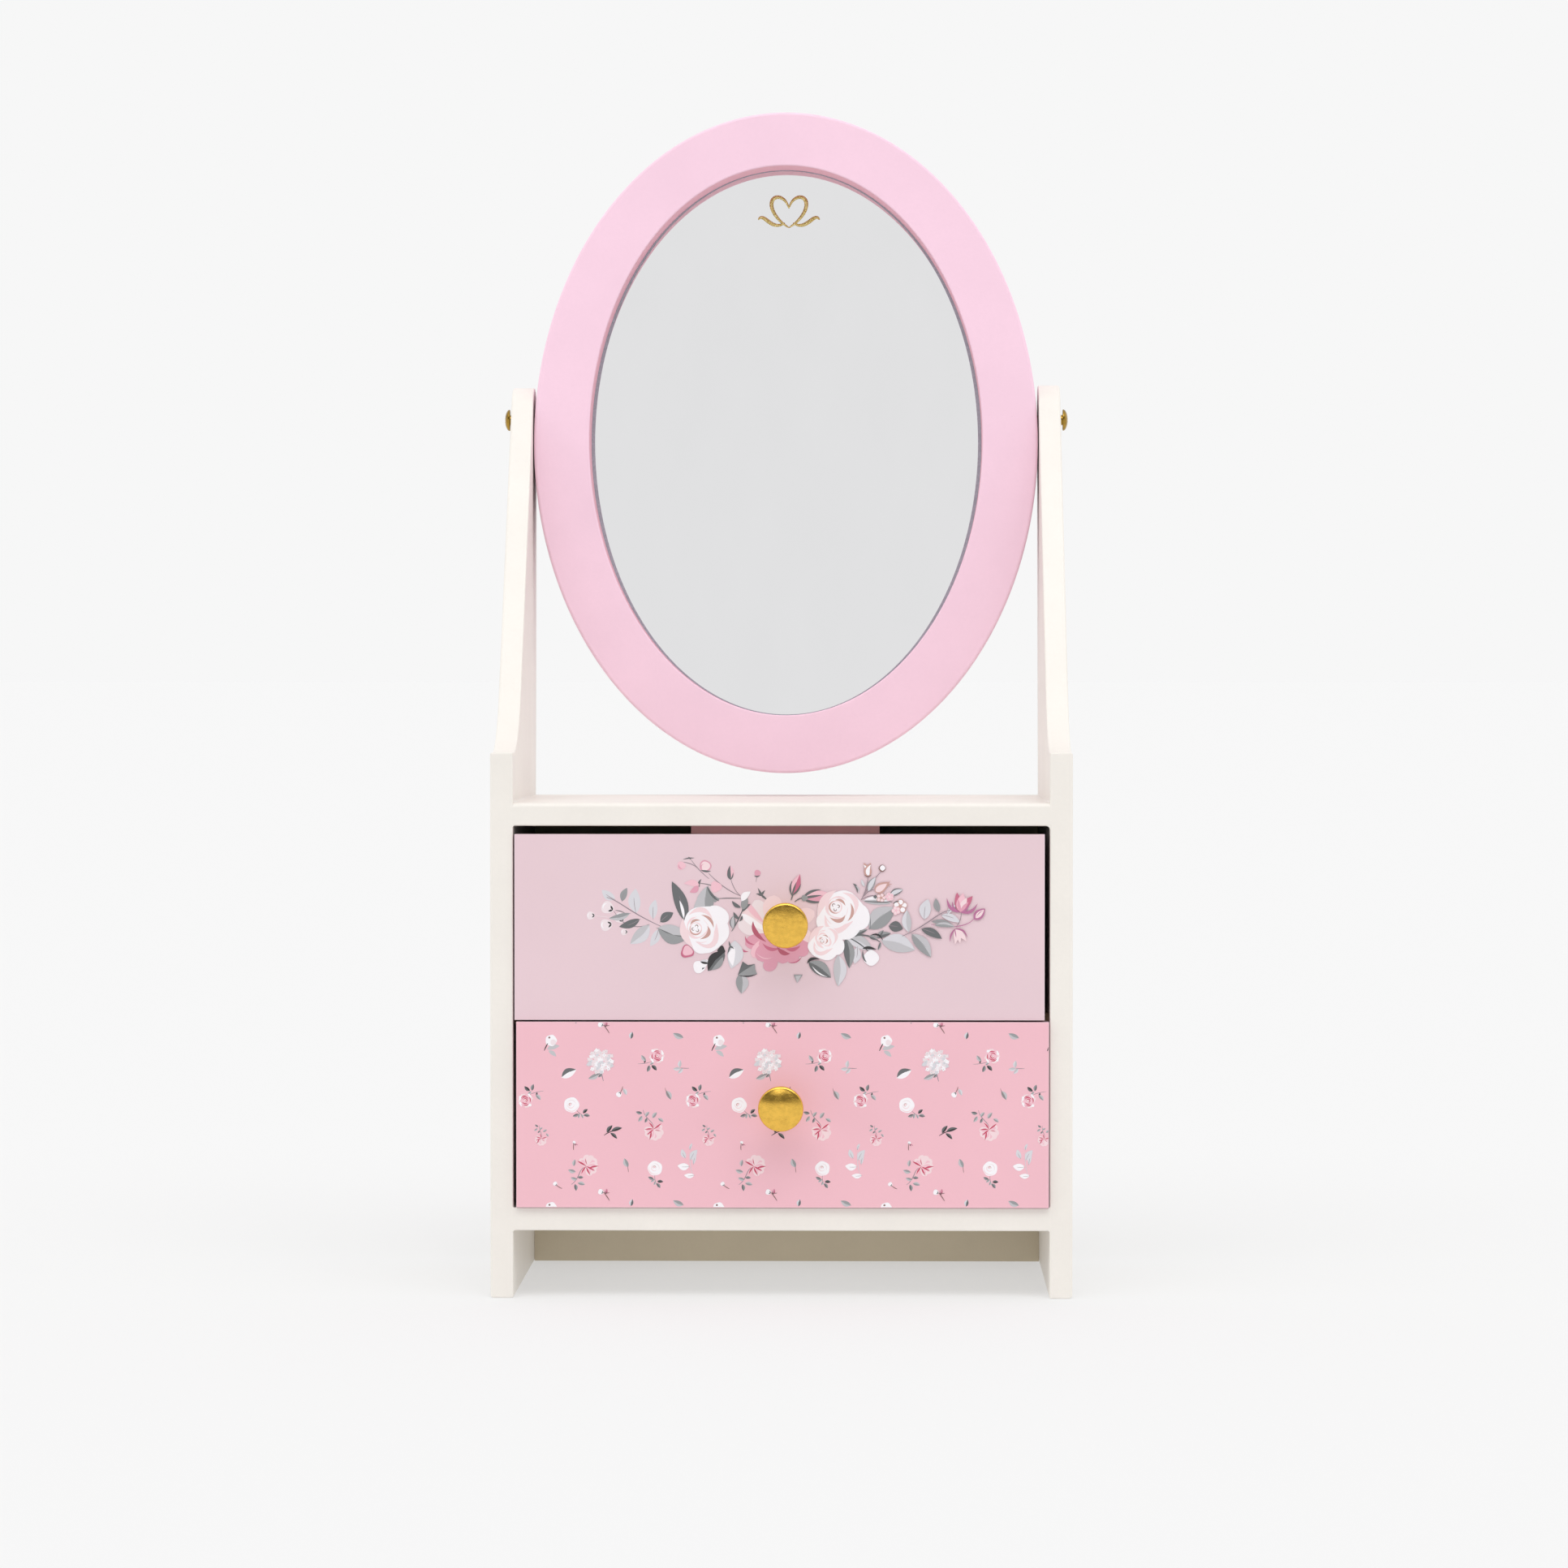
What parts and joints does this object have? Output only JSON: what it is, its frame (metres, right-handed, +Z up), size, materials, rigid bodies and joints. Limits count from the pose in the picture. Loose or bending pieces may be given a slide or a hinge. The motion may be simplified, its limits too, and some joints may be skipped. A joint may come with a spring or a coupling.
{
  "type": "miniature dressing table",
  "caption": "Miniature painted dressing table: cabinet with drawers behind brass knobs and floral printed fronts, and a swinging oval mirror between two raised side posts",
  "frame": {"origin": "on the floor, at the centre of the footprint of the whole object with its mirror nearly upright and its drawers shut", "axes": "+Z up, -Y is the front that the drawers open towards, +X is to the right as seen from the front"},
  "size_m": [0.1632, 0.1146, 0.3334],
  "materials": {
    "cream_paint": "satin cream paint on MDF",
    "pink_paint": "satin pink paint on MDF",
    "drawer_paint": "satin pale pink paint on MDF",
    "rose_paint": "matt rose paint on MDF",
    "raw_board": "unpainted MDF",
    "hardboard": "brown hardboard",
    "pale_print": "printed paper on MDF, satin lacquer",
    "rose_print": "printed paper on MDF, satin lacquer",
    "velvet": "short-pile velvet paper",
    "mirror_glass": "silvered glass",
    "gold_glitter": "gold glitter",
    "brass": "polished and lacquered",
    "steel": "zinc plated",
    "nylon": "natural nylon"
  },
  "bodies": {
    "cabinet": {"side_panel_left": "cream_paint", "side_panel_right": "cream_paint", "top_board": "cream_paint", "bottom_board": "cream_paint", "back_panel": "cream_paint", "drawer_divider": "raw_board", "drawer_kicker": "rose_paint"},
    "mirror": {"mirror_frame": "pink_paint", "mirror_glass": "mirror_glass", "mirror_backing": "hardboard", "glitter_motif": "gold_glitter", "pivot_screw_left": "brass", "pivot_screw_right": "brass", "pivot_washer_left": "nylon", "pivot_washer_right": "nylon"},
    "lower_drawer": {"lower_drawer_front": "drawer_paint", "lower_print_paper": "rose_print", "lower_drawer_side_left": "drawer_paint", "lower_drawer_side_right": "drawer_paint", "lower_drawer_back": "drawer_paint", "lower_drawer_floor": "drawer_paint", "lower_drawer_lining": "velvet", "lower_knob": "brass", "lower_knob_screw": "steel"},
    "upper_drawer": {"upper_drawer_front": "drawer_paint", "upper_print_paper": "pale_print", "upper_drawer_side_left": "drawer_paint", "upper_drawer_side_right": "drawer_paint", "upper_drawer_back": "drawer_paint", "upper_drawer_floor": "drawer_paint", "upper_drawer_lining": "velvet", "upper_knob": "brass", "upper_knob_screw": "steel"}
  },
  "joints": [
    {"name": "mirror_tilt", "type": "hinge", "parent": "cabinet", "child": "mirror", "pos_m": [0, 0.04719, 0.245], "axis": [1, 0, 0], "continuous": true},
    {"name": "lower_drawer_slide", "type": "slide", "parent": "cabinet", "child": "lower_drawer", "axis": [0, -1, 0], "range_m": [0, 0.075]},
    {"name": "upper_drawer_slide", "type": "slide", "parent": "cabinet", "child": "upper_drawer", "axis": [0, -1, 0], "range_m": [0, 0.075]}
  ]
}
